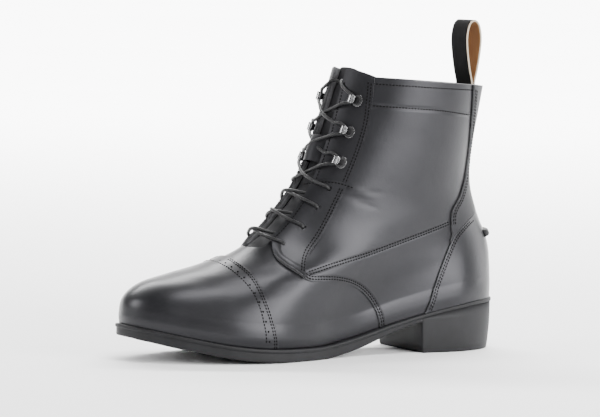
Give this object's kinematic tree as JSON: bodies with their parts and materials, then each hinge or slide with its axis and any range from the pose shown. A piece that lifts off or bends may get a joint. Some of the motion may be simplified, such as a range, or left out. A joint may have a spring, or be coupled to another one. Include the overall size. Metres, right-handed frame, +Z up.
{
  "type": "paddock boot",
  "caption": "Ankle-high lace-up riding boot with toe cap, derby quarters, lace holes and hooks, back pull loop and spur rest, on a moulded sole with block heel.",
  "frame": {"origin": "On the floor, under the middle of the outsole's box.", "axes": "+X to the toe, +Y to the foot's outer side, +Z up."},
  "size_m": [0.288, 0.0985, 0.2319],
  "materials": {
    "sole_rubber": "matt moulded rubber, dark grey",
    "insole_fabric": "dark textile sock lining",
    "upper_leather": "smooth black leather, soft sheen",
    "trim_leather": "smooth black leather, a little duller",
    "hook_metal": "dark polished metal",
    "lace_cord": "braided black cord",
    "loop_ribbon": "woven black ribbon"
  },
  "bodies": {
    "root": {"outsole": "sole_rubber", "insole": "insole_fabric", "upper": "upper_leather", "toe_cap": "upper_leather", "counter": "upper_leather", "back_strip": "trim_leather", "facing_outer": "trim_leather", "facing_inner": "trim_leather", "tongue": "trim_leather", "spur_rest": "sole_rubber", "hook_outer_1": "hook_metal", "hook_outer_2": "hook_metal", "hook_outer_3": "hook_metal", "hook_inner_1": "hook_metal", "hook_inner_2": "hook_metal", "hook_inner_3": "hook_metal", "lace": "lace_cord", "pull_loop": "loop_ribbon"}
  },
  "joints": []
}
